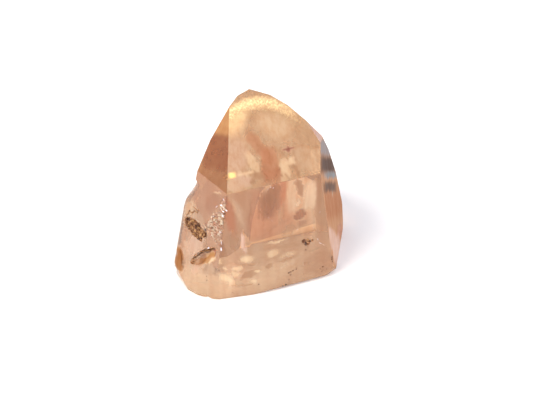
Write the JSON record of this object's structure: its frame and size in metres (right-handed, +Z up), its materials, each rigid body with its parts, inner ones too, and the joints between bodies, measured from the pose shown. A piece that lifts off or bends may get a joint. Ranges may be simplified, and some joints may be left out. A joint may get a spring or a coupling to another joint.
{
  "type": "lemurian quartz point",
  "caption": "Natural clear peach quartz point with a six-sided prism and faceted tip, broken flat at the foot, with a brown iron crust in a side pit.",
  "frame": {"origin": "centre of the bounding box on the surface that the foot rests on", "axes": "+Z up along the crystal's long axis, -Y towards the side with the large sloping tip face"},
  "size_m": [0.0358, 0.0334, 0.0414],
  "materials": {
    "clear_peach_quartz": "polished",
    "iron_stained_crust": "matte"
  },
  "bodies": {
    "root": {"quartz_point": "clear_peach_quartz", "iron_crust": "iron_stained_crust"}
  },
  "joints": []
}
